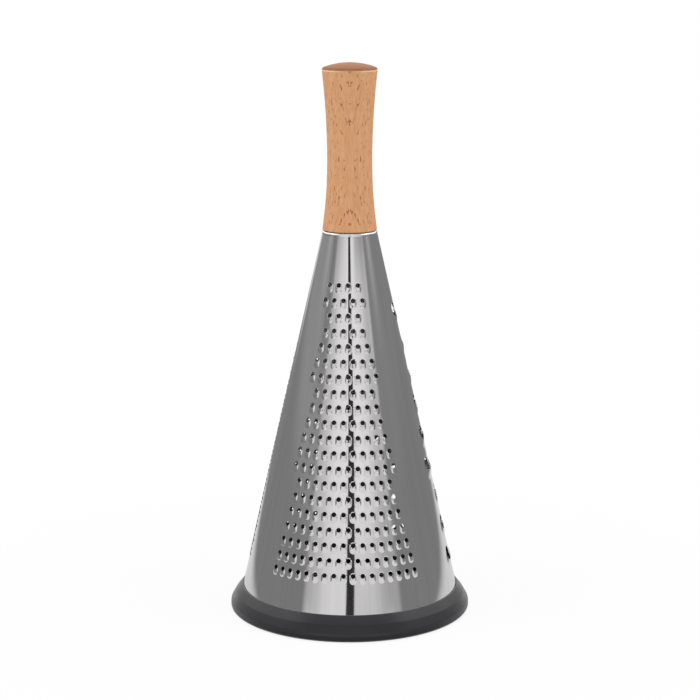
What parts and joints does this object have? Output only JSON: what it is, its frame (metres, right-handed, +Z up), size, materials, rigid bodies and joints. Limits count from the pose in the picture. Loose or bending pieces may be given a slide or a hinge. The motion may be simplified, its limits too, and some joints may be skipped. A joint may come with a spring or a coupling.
{
  "type": "cone grater",
  "caption": "Free-standing cone grater: a punched sheet steel cone with medium, coarse and fine teeth, on a rubber base ring, with a turned wooden handle screwed to its capped top.",
  "frame": {"origin": "middle of the base ring's flat underside, on the table", "axes": "+Z up along the cone's axis to the handle, -Y the front with the medium teeth, +X the side where the coarse teeth start"},
  "size_m": [0.12, 0.12, 0.273],
  "materials": {
    "rubber": "matte dark grey",
    "sheet_steel": "mirror polished",
    "cap_steel": "polished",
    "fastener_steel": "zinc plated, satin",
    "beech": "sanded and lightly oiled"
  },
  "bodies": {
    "root": {"base_ring": "rubber", "grater_cone": "sheet_steel", "top_cap": "cap_steel", "screw_washer": "fastener_steel", "handle_screw": "fastener_steel", "handle": "beech"}
  },
  "joints": []
}
